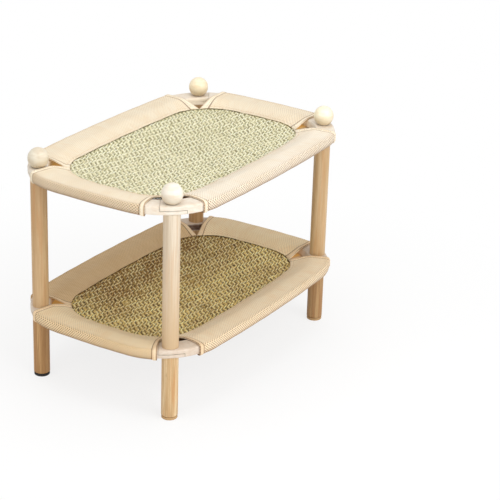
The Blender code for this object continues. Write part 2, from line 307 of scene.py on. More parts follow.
# Places in the CAD frame
POST_X, POST_Y = [(low + high) / 2 for low, high in zip(*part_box("post_back_right"))][:2]
RAIL_HEIGHTS = {tier: [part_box(f"rail_{tier}_front")[end][2] for end in (0, 1)] for tier in TIERS}
RAIL_MIDDLES = {tier: sum(heights) / 2 for tier, heights in RAIL_HEIGHTS.items()}
FINIAL_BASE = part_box("finial_ball_front_left")[0][2]


class Outline:
    """A rectangle with bowed sides and round corners, seen from above.

    Each side is a shallow arc that leans SIDE_LEAN at its ends, where the corner arcs carry on from it.
    """

    def __init__(self, corner_x, corner_y, radius):
        self.centre = (corner_x, corner_y)
        self.radius = radius

    def span(self, side):
        """The corner's centre from the middle of the side, along it and outward."""
        return self.centre if SIDES[side][0][0] == 0 else self.centre[::-1]

    def side_radius(self, side):
        """Radius of the side's arc."""
        return self.radius + self.span(side)[0] / math.sin(SIDE_LEAN)

    def bend(self, side):
        """Length from the middle of the side to its corner arc."""
        return self.side_radius(side) * SIDE_LEAN

    def half_length(self, side):
        """Length from the middle of the side to the post's bearing."""
        turn = math.pi / 2 - POST_BEARING if SIDES[side][0][0] == 0 else POST_BEARING
        return self.bend(side) + self.radius * (turn - SIDE_LEAN)

    def point(self, side, along, outward=0.0):
        """The point at a length along the side from its middle, moved outward, as x and y."""
        along, outward = np.broadcast_arrays(along, outward)
        across, out = self.span(side)
        big = self.side_radius(side)
        straight = self.bend(side)
        on_side = np.abs(along) <= straight
        corner_turn = np.sign(along) * (SIDE_LEAN + (np.abs(along) - straight) / self.radius)
        angle = np.where(on_side, along / big, corner_turn)
        reach = np.where(on_side, big, self.radius) + outward
        sideways = np.where(on_side, 0, np.sign(along) * across) + reach * np.sin(angle)
        centre = np.where(on_side, out - (big - self.radius) * math.cos(SIDE_LEAN), out)
        ahead = centre + reach * np.cos(angle)
        out_x, out_y = SIDES[side][0]
        return np.stack([out_x * ahead - out_y * sideways, out_x * sideways + out_y * ahead], axis=-1)

    def holds(self, x, y, margin):
        """Whether points lie inside both side arcs and the corner arc, all grown by a margin."""
        x, y = np.abs(x), np.abs(y)
        (cx, cy), r = self.centre, self.radius
        long_r, short_r = self.side_radius("front"), self.side_radius("right")
        drop = math.cos(SIDE_LEAN)
        in_long = np.hypot(x, y - cy + (long_r - r) * drop) < long_r + margin
        in_short = np.hypot(x - cx + (short_r - r) * drop, y) < short_r + margin
        in_corner = (x < cx) | (y < cy) | (np.hypot(x - cx, y - cy) < r + margin)
        return in_long & in_short & in_corner


RING = Outline(
    POST_X - CORNER_RADIUS * math.cos(POST_BEARING),
    POST_Y - CORNER_RADIUS * math.sin(POST_BEARING),
    CORNER_RADIUS,
)
MAT_INSET = CORNER_RADIUS - (RAIL_WIDTH / 2 + BAND_WIDTH) - MAT_CORNER_RADIUS
MAT_EDGE = Outline(RING.centre[0] + MAT_INSET, RING.centre[1] + MAT_INSET, MAT_CORNER_RADIUS)
MAT_HALF = [centre + MAT_CORNER_RADIUS for centre in MAT_EDGE.centre]


def weave_pits(x, y, cosine):
    """How open the weave is at a place, from 0 under a strand to 1 midway between two in a row.

    s counts strands along the rows and t counts rows. In turn from row to row the holes lean more and less,
    by ROW_LEAN, and stand to either side, by ROW_SWAY.
    """
    (step_x, step_y), (row_x, row_y) = STRAND_STEP.tolist(), ROW_STEP.tolist()
    area = step_x * row_y - step_y * row_x
    s = x * (row_y / area) - y * (row_x / area)
    t = y * (step_x / area) - x * (step_y / area)
    between = s - t - cosine(t * 0.5 - 0.25) * ROW_LEAN + cosine(t * 0.5) * ROW_SWAY
    return (0.5 - cosine(between) * 0.5) * (cosine(t) * 0.15 + 0.85)


def smooth(low, high, value):
    """Rises from 0 to 1 between low and high, level at both ends."""
    share = np.clip((value - low) / (high - low), 0, 1)
    return share * share * (3 - 2 * share)


def mat_height(tier, x, y):
    """Middle of the mat's thickness, which sags as the product of two cosines."""
    by_x, by_y = (np.cos(np.clip(at / half, -1, 1) * math.pi / 2) for at, half in zip((x, y), MAT_HALF))
    return RAIL_MIDDLES[tier] - MAT_DROP - MAT_SAG * (by_x * by_y)


# Meshes from arrays
def grid_quads(rows, columns, wrap=False, start=0):
    """Corner numbers of a grid's quads, whose columns close into a ring if wrapped."""
    i, j = np.meshgrid(np.arange(rows - 1), np.arange(columns - (not wrap)), indexing="ij")
    beside = (j + 1) % columns
    corners = (i * columns + j, (i + 1) * columns + j, (i + 1) * columns + beside, i * columns + beside)
    return np.stack(corners, -1).reshape(-1, 4) + start


def joined(parts):
    """One array of points and one of quads from several of each."""
    starts = np.cumsum([0] + [len(part[0]) for part in parts])
    quads = [part[1] + start for part, start in zip(parts, starts)]
    return np.concatenate([part[0] for part in parts]), np.concatenate(quads)


def put(name, data):
    """A new object in the scene."""
    made = bpy.data.objects.new(name, data)
    bpy.context.collection.objects.link(made)
    return made


def add_mesh(name, points, quads, uv=None, marks=None):
    """A smooth mesh of quads, with its own UV map and number attributes."""
    mesh = bpy.data.meshes.new(name)
    points = np.asarray(points, np.float32).reshape(-1, 3)
    quads = np.asarray(quads, np.int32)
    mesh.vertices.add(len(points))
    mesh.vertices.foreach_set("co", points.ravel())
    mesh.loops.add(quads.size)
    mesh.loops.foreach_set("vertex_index", quads.ravel())
    mesh.polygons.add(len(quads))
    mesh.polygons.foreach_set("loop_start", np.arange(0, quads.size, 4, dtype=np.int32))
    mesh.update(calc_edges=True)
    if uv is not None:
        layer = mesh.uv_layers.new(name="cloth")
        layer.data.foreach_set("uv", np.asarray(uv, np.float32).reshape(-1, 2)[quads.ravel()].ravel())
    for mark, values in (marks or {}).items():
        made = mesh.attributes.new(mark, "FLOAT", "POINT")
        made.data.foreach_set("value", np.asarray(values, np.float32).ravel())
    mesh.shade_smooth()
    return put(name, mesh)


def mend_mesh(piece):
    """Merges doubled points and turns the faces outward."""
    made = bmesh.new()
    made.from_mesh(piece.data)
    bmesh.ops.remove_doubles(made, verts=made.verts, dist=1e-6)
    bmesh.ops.recalc_face_normals(made, faces=made.faces)
    made.to_mesh(piece.data)
    made.free()


# Shaders
def operation(kind):
    """A method that sends one or two fields through a Math node."""
    def combined(field, *others):
        sockets = dict(enumerate((field, *others)))
        return field.nodes.node("ShaderNodeMath", {"operation": kind}, sockets)["Value"]
    return combined


class Field:
    """A shader socket whose numbers Python's operators combine, each through one node."""

    def __init__(self, nodes, socket):
        self.nodes = nodes
        self.socket = socket

    __add__ = __radd__ = operation("ADD")
    __mul__ = __rmul__ = operation("MULTIPLY")
    __sub__ = operation("SUBTRACT")
    __truediv__ = operation("DIVIDE")
    least = operation("MINIMUM")
    most = operation("MAXIMUM")
    size = operation("ABSOLUTE")
    root = operation("SQRT")
    cosine = operation("COSINE")
    angle = operation("ARCTAN2")

    def __rsub__(self, other):
        return (self * -1) + other

    def wave(self):
        """Cosine of the field, in turns."""
        return (self * math.tau).cosine()

    def rise(self, low, high):
        """0 below low, 1 above high, and a smooth step between."""
        sockets = {"Value": self, "From Min": low, "From Max": high}
        return self.nodes.node("ShaderNodeMapRange", {"interpolation_type": "SMOOTHSTEP"}, sockets)["Result"]


class Node:
    """A shader node whose outputs are read by name or number as fields."""

    def __init__(self, nodes, node):
        self.nodes = nodes
        self.node = node

    def __getitem__(self, name):
        return Field(self.nodes, self.node.outputs[name])


class Nodes:
    """A node tree."""

    def __init__(self, tree):
        self.tree = tree

    def node(self, kind, settings=None, sockets=None):
        """Makes a node and fills it."""
        made = self.tree.nodes.new(kind)
        for key, value in (settings or {}).items():
            setattr(made, key, value)
        return self.fill(made, sockets or {})

    def fill(self, node, sockets):
        """Sets a node's sockets to values or links."""
        for key, value in sockets.items():
            if isinstance(value, Field):
                self.tree.links.new(value.socket, node.inputs[key])
            else:
                node.inputs[key].default_value = value
        return Node(self, node)

    def show(self, output, share, first, second):
        """Sends a mix of two shaders to the tree's output node."""
        mixed = self.node("ShaderNodeMixShader", None, {0: share, 1: first, 2: second})
        self.fill(self.tree.nodes[output], {"Surface": mixed["Shader"]})


class Finish(Nodes):
    """A material and the nodes that feed its Principled shader."""

    def __init__(self, name, tone, roughness=0.6, metallic=0.0):
        self.material = bpy.data.materials.new(name)
        self.material.use_nodes = True
        super().__init__(self.material.node_tree)
        shader = self.tree.nodes["Principled BSDF"]
        self.shader = self.fill(shader, {"Roughness": roughness, "Metallic": metallic})
        self.colour = tone

    def place(self, stretch=(1, 1, 1), cloth=False):
        """Object coordinates, or the UV map in metres along and across the cloth, stretched."""
        if cloth:
            at = self.node("ShaderNodeUVMap", {"uv_map": "cloth"})["UV"]
        else:
            at = self.node("ShaderNodeTexCoord")["Object"]
        return self.node("ShaderNodeMapping", None, {"Vector": at, "Scale": stretch})["Vector"]

    def parts(self, cloth=False):
        """The same coordinates as three fields."""
        split = self.node("ShaderNodeSeparateXYZ", None, {"Vector": self.place(cloth=cloth)})
        return split["X"], split["Y"], split["Z"]

    def noise(self, scale, detail=2.0, roughness=0.5, stretch=(1, 1, 1), cloth=False):
        """Fractal noise from about 0.3 to 0.7."""
        at = self.place(stretch, cloth)
        sockets = {"Vector": at, "Scale": scale, "Detail": detail, "Roughness": roughness}
        return self.node("ShaderNodeTexNoise", None, sockets)["Fac"]

    def mark(self, name):
        """A number attribute of the mesh."""
        return self.node("ShaderNodeAttribute", {"attribute_name": name})["Fac"]

    def blend(self, share, first, second):
        """A colour between two, each a field or a tone."""
        first, second = (paint(end) if isinstance(end, tuple) else end for end in (first, second))
        return self.node("ShaderNodeMix", {"data_type": "RGBA"}, {"Factor": share, 6: first, 7: second})[2]

    def coat(self, share, colour):
        """Covers a share of the colour so far with another."""
        self.colour = self.blend(share, self.colour, colour)

    def done(self, height, depth, others=None):
        """The material, with bumps of a height from 0 to 1 times a depth in metres, and other sockets."""
        bump = self.node("ShaderNodeBump", None, {"Height": height, "Distance": depth, "Strength": 1.0})
        self.fill(self.shader.node, {"Base Color": self.colour, "Normal": bump["Normal"], **(others or {})})
        return self.material


def paint(tone):
    """A tone in the renderer's own linear values. One of four numbers is linear already."""
    if len(tone) == 4:
        return tone
    return (*(((c / 255 + 0.055) / 1.055) ** 2.4 if c > 10 else c / 255 / 12.92 for c in tone), 1.0)


def band(field, middle, width):
    """1 where a field is within half a width of a value, and 0 beyond, with soft edges."""
    return 1 - (field - middle).size().rise(width * 0.35, width * 0.8)


def outer_corners(x, y):
    """1 at the back left and front right corners, and 0 at the others, where 0.53 y is nearer 0.85 x."""
    return (y * 0.53 - x * 0.85).size().rise(0.15, 0.23)


# Wood
def wood(name, tone, streaks, contrast, foot=None):
    """Long-grained dowel: streaks along Z, some of them warm, fine dark pores, and painted shade towards its
    foot.
    """
    finish = Finish(name, tone)
    wide = finish.noise(170, 2.5, 0.55, (1, 1, 0.035))
    narrow = finish.noise(620, 2.0, 0.6, (1, 1, 0.02))
    drift = finish.noise(28, 1.0, stretch=(1, 1, 0.12))
    warm = finish.noise(240, 1.0, stretch=(-1, 1, 0.04))
    pores = finish.noise(1900, 2.0, 0.7, (1, 1, 0.03))
    streak = (wide * 0.6 + narrow * 0.4).rise(0.5 - 0.14 / contrast, 0.5 + 0.14 / contrast)
    orange = (min(255, streaks[0] * 1.08), streaks[1] * 0.96, streaks[2] * 0.84)
    finish.coat(drift.rise(0.35, 0.65) * 0.5, streaks)
    finish.coat(streak * 0.7, streaks)
    finish.coat(warm.rise(0.52, 0.66) * 0.25 * contrast, orange)
    finish.coat(pores.rise(0.58, 0.75) * 0.3 * contrast, tuple(0.72 * c for c in streaks))
    # Painted shade towards the foot
    if foot:
        finish.coat((1 - finish.parts()[2].rise(*FOOT_FADE)) * 0.9, foot)
    gloss = {"Roughness": pores.rise(0.3, 0.8) * 0.15 + 0.5}
    return finish.done(narrow * 0.5 + pores * 0.5, 0.25 * MM, gloss)


def lap_lines(x, y, z):
    """1 along the half-laps' lines. x and y start at the corner's centre, and z at the rail's middle.

    Above the rail's middle the joint is LAP_HALF from the post's axis along the short rail, and below it
    along the long one.
    """
    along = (y.angle(x) - POST_BEARING) * CORNER_RADIUS
    above = z.rise(-LAP_SOFT, LAP_SOFT)
    level = band(z, 0, LAP_LINE) * (1 - along.size().rise(LAP_HALF, LAP_HALF + 2 * LAP_SOFT))
    upper = band(along, -LAP_HALF, LAP_LINE) * above
    lower = band(along, LAP_HALF, LAP_LINE) * (1 - above)
    return level.most(upper).most(lower)


def rail_wood(name, tier, light, dark, inside):
    """Sanded pale wood, with dark lines at the half-laps and, at two corners, a painted tone on the inner
    face: painted light on the upper rails and painted shade on the lower.
    """
    finish = Finish(name, light, 0.45)
    grain = finish.noise(130, 3.0, 0.6, (1, 1, 2.5))
    cloud = finish.noise(22)
    fine = finish.noise(900, 2.0, 0.6, (1, 1, 3))
    x, y, z = finish.parts()
    from_x = x.size() - RING.centre[0]
    from_y = y.size() - RING.centre[1]
    lap = lap_lines(from_x, from_y, z - RAIL_MIDDLES[tier])
    reach = (from_x * from_x + from_y * from_y).root()
    inner_face = 1 - reach.rise(*(CORNER_RADIUS - RAIL_WIDTH / 2 + edge for edge in PAINTED_INNER_FACE))
    outer_face = reach.rise(*(CORNER_RADIUS + RAIL_WIDTH / 2 + edge for edge in OUTER_FACE))
    finish.coat((grain.rise(0.38, 0.68) * 0.5 + cloud.rise(0.4, 0.7) * 0.5) * 0.8, dark)
    # At two corners the inner face is painted: light on the upper rails, shade on the lower
    finish.coat(inner_face, finish.blend(outer_corners(x, y), inside, light))
    finish.coat(lap * (outer_face * 0.5 + 0.12), LAP_TONE)
    return finish.done((grain * 0.4 + fine * 0.6) * 0.3 + (1 - lap) * 0.7, 0.5 * MM)


def ball_wood(name, light, dark):
    """Sanded pale wood, turned: faint rings across the ball, with painted shade towards its seat and a
    painted contact shadow line there.
    """
    finish = Finish(name, light, 0.4)
    rings = finish.noise(90, 3.0, 0.55, (0.5, 0.5, 2.2))
    height = finish.parts()[2] - FINIAL_BASE
    finish.coat(rings.rise(0.4, 0.68) * 0.6 + finish.noise(30).rise(0.4, 0.7) * 0.4, dark)
    # Painted shade towards the seat, and a painted contact shadow line at it
    finish.coat((1 - height.rise(0, SEAT_SHADE)) * 0.68, BALL_SEAT_SHADE)
    finish.coat((1 - height.rise(*CONTACT_SHADOW_HEIGHTS)) * 0.8, BALL_CONTACT_SHADOW)
    return finish.done(rings, 0.1 * MM)


# Cloth and fibre
def mesh_cloth(name, yarn, shade, hole, side_shade):
    """Spacer mesh: staggered oval holes in rows, in knitted yarn whose loops run across the rows.

    The holes are where cos(along) times cos(across) is high. The cloth has a painted shadow line along the
    hem's band and painted shade under the rail, and painted shade browns it round the outside, by side_shade.
    """
    finish = Finish(name, yarn, 0.85)
    along, across = finish.parts(cloth=True)[:2]
    row = (across / MESH_ROWS).wave()
    dot = (along / MESH_PITCH).wave() * row
    loops = (along / YARN_PITCH + row * 0.15).wave() * 0.5 + 0.5
    ribs = finish.noise(420, stretch=(1, 0.08, 1), cloth=True)
    fuzz = finish.noise(1400, 2.0, 0.6)
    side = finish.mark("side")
    finish.coat(finish.noise(30, 1.0).rise(0.4, 0.65) * 0.2 + ribs.rise(0.4, 0.65) * 0.3, shade)
    finish.coat((1 - loops) * 0.2 + fuzz.rise(0.4, 0.7) * 0.12, shade)
    # Painted shade round the outside of the rail
    finish.coat((side - HOLES_ON_TOP) * side_shade, SLEEVE_SIDE_SHADE)
    # Painted shade towards the bottom of the outside and under the rail
    finish.coat(finish.mark("low") * 0.85, hole)
    finish.coat(dot.rise(0.15, 0.7) * side, hole)
    # Painted shadow line in the groove along the hem's band
    finish.coat(band(finish.mark("hem"), HEM_WIDTH + 0.5 * MM, 1.4 * MM) * 0.7, hole)
    height = loops * 0.3 + (1 - dot.rise(0.1, 0.9)) * 0.6 + fuzz * 0.1
    return finish.done(height, 0.5 * MM, {"Sheen Weight": 0.1})


def woven_tape(name, yarn, shade, edge=None):
    """Plain woven tape: a fine weave with faint cloudiness, and a painted shadow line where the mesh marks
    its edge.
    """
    finish = Finish(name, yarn, 0.85)
    weave = finish.noise(1600, 2.0, 0.6)
    finish.coat(finish.noise(60).rise(0.35, 0.68) * 0.3 + weave.rise(0.35, 0.7) * 0.3, shade)
    # Painted shadow line at the hem's mouth
    if edge:
        finish.coat(finish.mark("edge"), edge)
    return finish.done(weave, 0.3 * MM)


def lining_cloth(name, light, dark):
    """The sleeves' inside: fine weave, with painted light at two corners and painted shade at the other two,
    and a painted glow that stands in for light through the cloth.
    """
    finish = Finish(name, light, 0.85)
    weave = finish.noise(1600, 2.0, 0.6)
    # Painted shade at the front left and back right corners, painted light at the other two
    share = 1 - outer_corners(*finish.parts()[:2]) + weave.rise(0.35, 0.7) * 0.12
    finish.coat((share + finish.noise(60).rise(0.35, 0.68) * 0.15).least(1.0), dark)
    # The painted glow, in the lining's own colour
    return finish.done(weave, 0.3 * MM, {"Emission Color": finish.colour, "Emission Strength": LINING_PAINTED_GLOW})


def fibre(name, light, dark, hole, stretch):
    """The mats' ground of plant fibre cords: mottled, with painted shade where the weave is open and a
    painted shadow at its rim.
    """
    finish = Finish(name, light)
    pits = weave_pits(*finish.parts()[:2], Field.wave)
    ragged = finish.noise(280)
    lines = finish.noise(2200, 2.0, 0.6, stretch)
    # The tone attribute holds each cord's own tone and, on the lower mat, painted shade
    mottled = finish.mark("tone") * 0.3 + finish.noise(24).rise(0.35, 0.65) * 0.3
    finish.coat(mottled + lines.rise(0.4, 0.7) * 0.3, dark)
    # Painted shade where the weave is open
    finish.coat((pits + (ragged - 0.5) * 3.2).rise(0.25, 0.9) * 0.85, hole)
    # Painted shadow on the rim under the sleeves
    finish.coat(finish.mark("rim"), hole)
    return finish.done(lines, 0.25 * MM)


def strand_fibre(name, light, dark):
    """A pale split strand: fine lines along it, and each strand of its own tone, which holds painted shade
    towards the lower mat's back edge.
    """
    finish = Finish(name, light, 0.5)
    lines = finish.noise(2600, 2.0, 0.6, (0.08, 1, 1), cloth=True)
    finish.coat(finish.mark("tone") * 0.7 + finish.noise(24).rise(0.35, 0.65) * 0.2, dark)
    finish.coat(lines.rise(0.45, 0.75) * 0.3, dark)
    return finish.done(lines, 0.15 * MM)


# Metal, rubber and felt
def plain(name, colour, speck, roughness, metallic, scale):
    """An even colour with a little speckle in tone and gloss."""
    finish = Finish(name, colour, roughness, metallic)
    grain = finish.noise(scale, 3.0, 0.6)
    finish.coat(grain.rise(0.35, 0.7), speck)
    return finish.done(grain, 0.1 * MM, {"Roughness": grain * 0.2 + (roughness - 0.1)})


def threaded(name, colour, speck, pitch):
    """Metal with a thread: ridges that climb one pitch in a turn round each post's axis."""
    finish = Finish(name, speck, 0.35, 1.0)
    x, y, z = finish.parts()
    turn = (y.size() - POST_Y).angle(x.size() - POST_X) / math.tau
    ridge = (z / pitch - turn).wave() * 0.5 + 0.5
    finish.coat(ridge, colour)
    return finish.done(ridge, 0.4 * MM)


def dress(node, material):
    """Gives a CAD node its material."""
    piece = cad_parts[node]
    piece.data.materials.clear()
    piece.data.materials.append(material)


def finish_piece(piece, material):
    """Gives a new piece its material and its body."""
    piece.data.materials.append(material)
    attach(piece, STAND)
    return piece


# Sleeves
class Run:
    """One side of a tier, and where its sleeve starts and ends, by length from the side's middle."""

    def __init__(self, tier, side):
        self.tier = tier
        self.side = side
        self.name = f"{tier}_{side}"
        self.low, self.high = RAIL_HEIGHTS[tier]
        start_bare, end_bare = (LAP_HALF + bare * MM for bare in BARE_RAIL[tier][side])
        half = RING.half_length(side)
        self.hems = (start_bare - half, half - end_bare)
        half = MAT_EDGE.half_length(side)
        toward_long = 1 if SIDES[side][0][0] else -1
        start, end = (half + toward_long * MITRES[corner][0] * MM for corner in SIDES[side][1:])
        self.mitres = (-(start - MITRE_GAP), end - MITRE_GAP)

    def matched(self, share):
        """Lengths along the ring and along the mat's edge for a share of the sleeve, from -1 to 1."""
        start, end = self.mitres
        on_mat = start + (end - start) * (share + 1) / 2
        knots = [start, -MAT_EDGE.bend(self.side), MAT_EDGE.bend(self.side), end]
        places = [self.hems[0], -RING.bend(self.side), RING.bend(self.side), self.hems[1]]
        return np.interp(on_mat, knots, places), on_mat

    def from_hem(self, along):
        """How far a place along the ring is from the nearer hem."""
        return np.minimum(along - self.hems[0], self.hems[1] - along)


def over_rail(run, along, seam, inward):
    """Plan of the cloth over or under the rail: a quadratic curve from edge to edge and on to the seam."""
    t = inward[..., None]
    outer = RING.point(run.side, along, RAIL_FLAT)
    inner = RING.point(run.side, along, -RAIL_FLAT)
    return outer * (1 - t) ** 2 + inner * 2 * t * (1 - t) + seam * t ** 2


def toward_mitre(run, along, inward, plan):
    """Moves the cloth near each end sideways, so that its hem meets the next sleeve's.

    Its distance from the line where they meet falls to nothing on the way inward, as MITRES says.
    """
    from_hem = run.from_hem(along)
    for end, on_mat, corner in zip(ENDS, run.mitres, SIDES[run.side][1:]):
        meet, power = MITRES[corner][1:]
        kept = 1 - np.clip(inward / meet, 0, 1) ** power
        hem_along = run.matched(np.array(float(end)))[0]
        seam = MAT_EDGE.point(run.side, on_mat)
        out = MAT_EDGE.point(run.side, on_mat, 1.0) - seam
        aside = end * np.array([out[1], -out[0]])
        hem = over_rail(run, hem_along, seam, inward)
        apart = ((hem - seam) * aside).sum(axis=-1)
        wanted = ((RING.point(run.side, hem_along, RAIL_FLAT) - seam) * aside).sum(axis=-1) * kept
        near = np.where(np.sign(along) == end, 1 - smooth(0, CLOSING_REACH, from_hem), 0)
        plan = plan - aside * ((apart - wanted) * near)[..., None]
    return plan


def drape(run, seam, inward, off):
    """Heights of the cloth over and under the rail, which ease from the rail to the mat."""
    eased = smooth(*DRAPE, inward) / smooth(*DRAPE, 1.0)
    mat_middle = mat_height(run.tier, seam[..., 0], seam[..., 1])
    rest = MAT_THICKNESS / 2 + CLOTH / 2
    over = (run.high + off) * (1 - eased) + (mat_middle + rest) * eased
    return over, (run.low - off) * (1 - eased) + (mat_middle - rest) * eased


def round_rail(run, along, step, off):
    """Plan and heights round the rail's outside: a quarter circle, a straight and a quarter circle."""
    bend = RAIL_ROUNDING + off
    high, low = run.high - RAIL_ROUNDING, run.low + RAIL_ROUNDING
    turned = np.clip(step - TOP_STEPS, 0, 2 * ROUND_STEPS + SIDE_STEPS)
    first = np.clip(turned / ROUND_STEPS, 0, 1) * math.pi / 2
    second = np.clip((turned - ROUND_STEPS - SIDE_STEPS) / ROUND_STEPS, 0, 1) * math.pi / 2
    down = np.clip((turned - ROUND_STEPS) / SIDE_STEPS, 0, 1)
    outward = RAIL_FLAT + bend * np.where(second > 0, np.cos(second), np.sin(first))
    upper_arc = high + bend * np.cos(first)
    lower_arc = low - bend * np.sin(second)
    straight = high * (1 - down) + low * down
    height = np.where(turned <= ROUND_STEPS, upper_arc, np.where(second > 0, lower_arc, straight))
    return RING.point(run.side, along, outward), height


def sleeve_points(run, share, step):
    """Points of the sleeve's middle surface, which stands off the rail by CLOTH_OFF and flares to its hems.

    share runs hem to hem, and step from 0 at the mat's top face, over and round the rail, to PROFILE_STEPS at
    the mat's underside.
    """
    share, step = np.broadcast_arrays(share, step)
    along, on_mat = run.matched(share)
    off = CLOTH_OFF + HEM_FLARE * (1 - smooth(0, FLARE_REACH, run.from_hem(along)))
    seam = MAT_EDGE.point(run.side, on_mat)
    top = step < TOP_STEPS
    under = step > PROFILE_STEPS - TOP_STEPS
    inward = np.where(top, 1 - step / TOP_STEPS, np.where(under, 1 - (PROFILE_STEPS - step) / TOP_STEPS, 0))
    plan = toward_mitre(run, along, inward, over_rail(run, along, seam, inward))
    height_top, height_under = drape(run, seam, inward, off)
    around, height_round = round_rail(run, along, step, off)
    xy = np.where((top | under)[..., None], plan, around)
    z = np.where(top, height_top, np.where(under, height_under, height_round))
    return np.concatenate([xy, z[..., None]], axis=-1)


def sleeve_lifted(run, share, step, lift):
    """Points that stand off the sleeve's middle surface along its outward normal."""
    share, step, lift = np.broadcast_arrays(share, step, lift)
    by_share, by_step = 0, 0
    for sign in ENDS:
        share_beside = np.clip(share + sign * SHARE_NUDGE, -1, 1)
        step_beside = np.clip(step + sign * STEP_NUDGE, 0, PROFILE_STEPS)
        by_share = sign * sleeve_points(run, share_beside, step) + by_share
        by_step = sign * sleeve_points(run, share, step_beside) + by_step
    normal = np.cross(by_step, by_share)
    normal /= np.maximum(np.linalg.norm(normal, axis=-1, keepdims=True), 1e-12)
    return sleeve_points(run, share, step) + normal * lift[..., None]


def sleeve_pucker(run, along, step):
    """Small folds square to the seam, gone over the rail, and slow waves all over, as sines of length."""
    near_seam = 1 - smooth(0, TOP_STEPS * 0.55, np.minimum(step, PROFILE_STEPS - step))
    slow = np.sin(along / MM * 0.071 + 1.7 * len(run.side)) + 0.6 * np.sin(along / MM * 0.163 + len(run.tier))
    fine = np.sin(along / MM * 0.74) * np.sin(along / MM * 0.113 + 2.0)
    return (FOLD * fine + SEAM_WAVE * slow) * near_seam * MM + WAVE * slow * MM


def path_lengths(points):
    """Length along a path from its start to each of its points."""
    return np.concatenate([[0], np.cumsum(np.linalg.norm(np.diff(points, axis=0), axis=1))])


def sleeve(run, cloth, lining):
    """The fabric sleeve and its flat size. Its UV map is in metres along the rail and round it."""
    share = np.linspace(-1, 1, ALONG_STEPS)[:, None]
    step = np.arange(PROFILE_STEPS + 1, dtype=float)[None, :]
    along = run.matched(share)[0]
    from_hem = run.from_hem(along)
    lift = sleeve_pucker(run, along, step) * smooth(0, HEM_HOLD, from_hem)
    points = sleeve_lifted(run, share, step, lift)
    across = path_lengths(points[len(points) // 2])
    uv = np.stack(np.broadcast_arrays(along, across[None, :]), axis=-1)
    beneath = smooth(PROFILE_STEPS - TOP_STEPS + 2, PROFILE_STEPS, step)
    outside = smooth(TOP_STEPS - 3, TOP_STEPS + 3, step) * (1 - beneath)
    marks = {
        # How strongly the holes show, and where the painted shade round the outside goes
        "side": HOLES_ON_TOP + (1 - HOLES_ON_TOP) * outside,
        # Painted shade towards the bottom of the outside and under the rail
        "low": smooth(TOP_STEPS + ROUND_STEPS + 2, PROFILE_STEPS - TOP_STEPS - 1, step),
        "hem": from_hem,
    }
    marks = {mark: np.broadcast_to(values, points.shape[:2]) for mark, values in marks.items()}
    piece = add_mesh(f"sleeve_cloth_{run.name}", points, grid_quads(*points.shape[:2])[:, ::-1], uv, marks)
    finish_piece(piece, cloth)
    piece.data.materials.append(lining)
    solid = piece.modifiers.new("thickness", "SOLIDIFY")
    solid.thickness = CLOTH
    solid.offset = 0
    solid.material_offset = 1
    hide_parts(f"sleeve_{run.name}")
    return piece, (float(across[-1]), float(along[-1, 0] - along[0, 0]))


def hem_share(run, end, distance):
    """The share of the sleeve at a distance in from a hem, measured along the rail."""
    shares = np.linspace(-1, 1, SHARE_SAMPLES)
    hem = run.hems[end > 0]
    return np.interp(hem - end * distance, run.matched(shares)[0], shares)


def hem_band(run, end):
    """Points, quads and painted shadow line of a hem's turned band, a blunt oval carried round the sleeve's
    end.
    """
    step = np.linspace(HEM_FREE, PROFILE_STEPS - HEM_FREE, HEM_STEPS)[:, None]
    angle = math.tau * np.arange(HEM_ROUND)[None, :] / HEM_ROUND
    cos, sin = np.cos(angle), np.sin(angle)
    distance = HEM_WIDTH / 2 * (1 - np.sign(cos) * np.abs(cos) ** HEM_BLUNT[0])
    lift = HEM_THICKNESS / 2 * np.sign(sin) * np.abs(sin) ** HEM_BLUNT[1] + HEM_RISE
    points = sleeve_lifted(run, hem_share(run, end, distance), step, lift)
    first = np.arange(HEM_ROUND // 2 - 1)
    cap = np.stack([first, first + 1, HEM_ROUND - 2 - first, HEM_ROUND - 1 - first], axis=-1)
    caps = [cap, cap + (HEM_STEPS - 1) * HEM_ROUND]
    quads = np.concatenate([grid_quads(HEM_STEPS, HEM_ROUND, wrap=True), *caps])
    from_mat = smooth(2, 14, np.minimum(step, PROFILE_STEPS - step))
    # Painted shadow line along the hem's mouth, fainter near the mat
    edge = (1 - smooth(*HEM_MOUTH_SHADOW, distance)) * (0.25 + 0.75 * from_mat)
    return points.reshape(-1, 3), quads, edge.ravel()


def hems(run, tape):
    """Both hems of one sleeve."""
    bands = [hem_band(run, end) for end in ENDS]
    marks = {"edge": np.concatenate([made[2] for made in bands])}
    piece = add_mesh(f"hems_{run.name}", *joined(bands), marks=marks)
    mend_mesh(piece)
    return finish_piece(piece, tape)


# Stitches
def spindles(starts, ends, up, width, flatness=1.0):
    """Stitches or strands: each a spindle from start to end, humped along up.

    Its width rises and falls as sin(pi t) to SPINDLE_POWER, and its height is its width times the flatness.
    """
    t = np.linspace(0, 1, SPINDLE_ROWS)[None, :, None, None]
    angle = (math.tau * np.arange(SPINDLE_SIDES) / SPINDLE_SIDES)[None, None, :, None]
    run = (ends - starts)[:, None, None, :]
    ahead = run / np.linalg.norm(run, axis=-1, keepdims=True)
    rise = up[:, None, None, :]
    across = np.cross(ahead, rise)
    girth = width / 2 * np.maximum(np.sin(math.pi * t), SPINDLE_TIP) ** SPINDLE_POWER
    points = (starts[:, None, None, :] + run * t + rise * (np.sin(math.pi * t) * SPINDLE_HUMP)
              + (across * np.cos(angle) + rise * np.sin(angle) * flatness) * girth)
    last = (SPINDLE_ROWS - 1) * SPINDLE_SIDES
    caps = [[row + k for k in cap] for row in (0, last) for cap in ((0, 1, 4, 5), (1, 2, 3, 4))]
    one = np.concatenate([grid_quads(SPINDLE_ROWS, SPINDLE_SIDES, wrap=True), caps])
    quads = one[None] + (np.arange(len(starts)) * SPINDLE_ROWS * SPINDLE_SIDES)[:, None, None]
    return points.reshape(-1, 3), quads.reshape(-1, 4)


